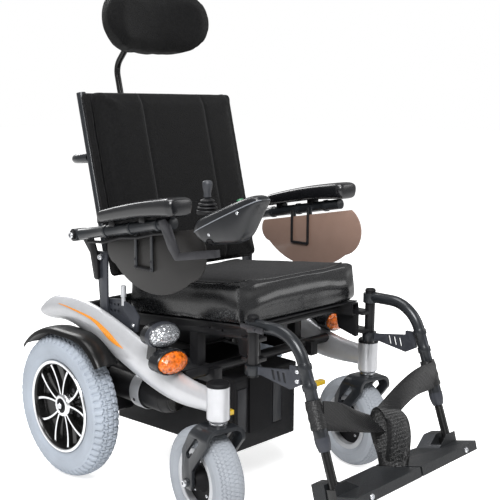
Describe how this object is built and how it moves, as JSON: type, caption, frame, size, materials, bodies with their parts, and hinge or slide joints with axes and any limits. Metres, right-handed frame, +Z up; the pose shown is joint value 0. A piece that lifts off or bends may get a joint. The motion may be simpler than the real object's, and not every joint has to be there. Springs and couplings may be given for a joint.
{
  "type": "power wheelchair",
  "caption": "Rear-wheel-drive power wheelchair with reclining back, headrest, flip-up armrests, joystick controller and swing-away legrests.",
  "frame": {"origin": "on the floor, at the middle of the chair's width and length at rest", "axes": "+Z up, the chair faces -Y, its occupant's right is -X"},
  "size_m": [0.648, 1.024, 1.205],
  "materials": {
    "arm_pad_grey": "satin",
    "back_fabric": "matt",
    "battery_grey": "matt",
    "boot_rubber": "matt",
    "box_black": "matt",
    "bright_steel": "satin",
    "button_green": "satin",
    "cable_black": "matt",
    "chassis_black": "satin",
    "controller_grey": "satin",
    "dark_steel": "gloss",
    "footplate_grey": "textured",
    "fork_paint": "satin",
    "frame_silver": "pearl",
    "guard_gloss_black": "gloss",
    "guard_smoke": "gloss",
    "gunmetal": "satin",
    "knob_grey": "matt",
    "lamp_black": "gloss",
    "lens_amber": "gloss",
    "lens_clear": "gloss",
    "lever_yellow": "satin",
    "module_alloy": "satin",
    "motor_black": "satin",
    "panel_black": "matt",
    "rim_black": "gloss",
    "rim_silver": "satin",
    "seat_fabric": "matt",
    "tyre_grey": "matt",
    "webbing_black": "matt"
  },
  "bodies": {
    "chassis": {"side_frames": "frame_silver", "caster_bearings": "bright_steel", "head_tube_caps": "panel_black", "chassis_frame": "chassis_black", "battery_box": "box_black", "battery_box_lid": "box_black", "batteries": "battery_grey", "gear_motors": "motor_black", "power_module": "module_alloy", "mudguards": "guard_gloss_black", "lamp_housings": "lamp_black", "headlamp_lenses": "lens_clear", "turn_lenses": "lens_amber", "seat_frame": "chassis_black", "seat_cushion": "seat_fabric", "back_hinge_plates": "gunmetal", "armrest_brackets": "chassis_black"},
    "backrest": {"back_canes": "gunmetal", "back_panel": "panel_black", "back_cushion": "back_fabric", "push_bar": "gunmetal"},
    "headrest_slide": {"headrest_stem": "dark_steel"},
    "headrest": {"headrest_bracket": "dark_steel", "headrest_pad": "back_fabric"},
    "controller": {"controller_base": "controller_grey", "controller_cover": "controller_grey"},
    "joystick_gimbal": {"joystick_boot": "boot_rubber"},
    "joystick_lever": {"joystick": "knob_grey"},
    "power_switch": {"power_button": "button_green"},
    "drive_wheel_right": {"drive_rim_right": "rim_black", "drive_tyre_right": "tyre_grey"},
    "caster_swivel_right": {"caster_fork_right": "fork_paint"},
    "caster_wheel_right": {"caster_rim_right": "rim_silver", "caster_tyre_right": "tyre_grey"},
    "freewheel_right": {"freewheel_lever_right": "lever_yellow"},
    "legrest_right": {"hanger_right": "gunmetal", "calf_strap_right": "webbing_black", "heel_strap": "webbing_black"},
    "latch_right": {"legrest_latch_right": "dark_steel"},
    "footrest_right": {"footrest_tube_right": "dark_steel"},
    "footboard_right": {"footplate_right": "footplate_grey"},
    "armrest_right": {"armrest_tube_right": "gunmetal", "armrest_pad_right": "arm_pad_grey", "side_guard_right": "guard_smoke", "controller_bracket": "dark_steel", "controller_cable": "cable_black"},
    "drive_wheel_left": {"drive_rim_left": "rim_black", "drive_tyre_left": "tyre_grey"},
    "caster_swivel_left": {"caster_fork_left": "fork_paint"},
    "caster_wheel_left": {"caster_rim_left": "rim_silver", "caster_tyre_left": "tyre_grey"},
    "freewheel_left": {"freewheel_lever_left": "lever_yellow"},
    "legrest_left": {"hanger_left": "gunmetal", "calf_strap_left": "webbing_black"},
    "latch_left": {"legrest_latch_left": "dark_steel"},
    "footrest_left": {"footrest_tube_left": "dark_steel"},
    "footboard_left": {"footplate_left": "footplate_grey"},
    "armrest_left": {"armrest_tube_left": "gunmetal", "armrest_pad_left": "arm_pad_grey", "side_guard_left": "guard_smoke"}
  },
  "joints": [
    {"name": "drive_spin_right", "type": "hinge", "parent": "chassis", "child": "drive_wheel_right", "pos_m": [-0.288, 0.334, 0.178], "axis": [1, 0, 0], "continuous": true},
    {"name": "caster_swivel_right", "type": "hinge", "parent": "chassis", "child": "caster_swivel_right", "pos_m": [-0.257, -0.172, 0.25], "axis": [0, 0, 1], "continuous": true},
    {"name": "caster_roll_right", "type": "hinge", "parent": "caster_swivel_right", "child": "caster_wheel_right", "pos_m": [-0.24866, -0.12473, 0.1145], "axis": [0.9848, -0.1736, 0], "continuous": true},
    {"name": "freewheel_turn_right", "type": "hinge", "parent": "chassis", "child": "freewheel_right", "pos_m": [-0.156, -0.02, 0.222], "axis": [0, 1, 0], "range_deg": [0, 60]},
    {"name": "legrest_swing_right", "type": "hinge", "parent": "chassis", "child": "legrest_right", "pos_m": [-0.2, -0.217, 0.41], "axis": [0, 0, -1], "range_deg": [0, 90]},
    {"name": "legrest_latch_right", "type": "hinge", "parent": "legrest_right", "child": "latch_right", "pos_m": [-0.2215, -0.24, 0.4585], "axis": [1, 0, 0], "range_deg": [0, 14], "stiffness_Nm_per_rad": 0.6, "springref_deg": -3.44},
    {"name": "footrest_length_right", "type": "slide", "parent": "legrest_right", "child": "footrest_right", "axis": [0, -0.3355, -0.9421], "range_m": [-0.04, 0.04], "deforming": ["heel_strap"]},
    {"name": "footplate_flip_right", "type": "hinge", "parent": "footrest_right", "child": "footboard_right", "pos_m": [-0.17, -0.4515, 0.153], "axis": [0, -0.9659, 0.2588], "range_deg": [0, 85], "deforming": ["heel_strap", "calf_strap_right"]},
    {"name": "armrest_flip_right", "type": "hinge", "parent": "chassis", "child": "armrest_right", "pos_m": [-0.278, 0.289, 0.605], "axis": [-1, 0, 0], "range_deg": [0, 95]},
    {"name": "drive_spin_left", "type": "hinge", "parent": "chassis", "child": "drive_wheel_left", "pos_m": [0.288, 0.334, 0.178], "axis": [1, 0, 0], "continuous": true},
    {"name": "caster_swivel_left", "type": "hinge", "parent": "chassis", "child": "caster_swivel_left", "pos_m": [0.257, -0.172, 0.25], "axis": [0, 0, 1], "continuous": true},
    {"name": "caster_roll_left", "type": "hinge", "parent": "caster_swivel_left", "child": "caster_wheel_left", "pos_m": [0.26533, -0.12473, 0.1145], "axis": [0.9848, -0.1736, 0], "continuous": true},
    {"name": "freewheel_turn_left", "type": "hinge", "parent": "chassis", "child": "freewheel_left", "pos_m": [0.156, -0.02, 0.222], "axis": [0, -1, 0], "range_deg": [0, 60]},
    {"name": "legrest_swing_left", "type": "hinge", "parent": "chassis", "child": "legrest_left", "pos_m": [0.2, -0.217, 0.41], "axis": [0, 0, 1], "range_deg": [0, 90]},
    {"name": "legrest_latch_left", "type": "hinge", "parent": "legrest_left", "child": "latch_left", "pos_m": [0.2215, -0.24, 0.4585], "axis": [1, 0, 0], "range_deg": [0, 14], "stiffness_Nm_per_rad": 0.6, "springref_deg": -3.44},
    {"name": "footrest_length_left", "type": "slide", "parent": "legrest_left", "child": "footrest_left", "axis": [0, -0.3355, -0.9421], "range_m": [-0.04, 0.04]},
    {"name": "footplate_flip_left", "type": "hinge", "parent": "footrest_left", "child": "footboard_left", "pos_m": [0.17, -0.4515, 0.153], "axis": [0, 0.9659, -0.2588], "range_deg": [0, 85], "deforming": ["calf_strap_left"]},
    {"name": "armrest_flip_left", "type": "hinge", "parent": "chassis", "child": "armrest_left", "pos_m": [0.278, 0.289, 0.605], "axis": [-1, 0, 0], "range_deg": [0, 95]},
    {"name": "backrest_recline", "type": "hinge", "parent": "chassis", "child": "backrest", "pos_m": [0, 0.241, 0.553], "axis": [-1, 0, 0], "range_deg": [0, 30]},
    {"name": "headrest_height", "type": "slide", "parent": "backrest", "child": "headrest_slide", "axis": [0, 0.2419, 0.9703], "range_m": [-0.07, 0.04]},
    {"name": "headrest_tilt", "type": "hinge", "parent": "headrest_slide", "child": "headrest", "pos_m": [-0.02, 0.392, 1.092], "axis": [1, 0, 0], "range_deg": [-20, 20]},
    {"name": "controller_slide", "type": "slide", "parent": "armrest_right", "child": "controller", "axis": [0, -0.9852, 0.1714], "range_m": [0, 0.06]},
    {"name": "joystick_pitch", "type": "hinge", "parent": "controller", "child": "joystick_gimbal", "pos_m": [-0.278, -0.162, 0.7], "axis": [1, 0, 0], "range_deg": [-18, 18], "stiffness_Nm_per_rad": 0.3},
    {"name": "joystick_roll", "type": "hinge", "parent": "joystick_gimbal", "child": "joystick_lever", "pos_m": [-0.278, -0.162, 0.7], "axis": [0, 1, 0], "range_deg": [-18, 18], "stiffness_Nm_per_rad": 0.3, "deforming": ["joystick_boot"]},
    {"name": "power_button_press", "type": "slide", "parent": "controller", "child": "power_switch", "axis": [0, -0.4076, -0.9132], "range_m": [0, 0.0012], "stiffness_N_per_m": 800, "springref_m": -0.0006}
  ]
}
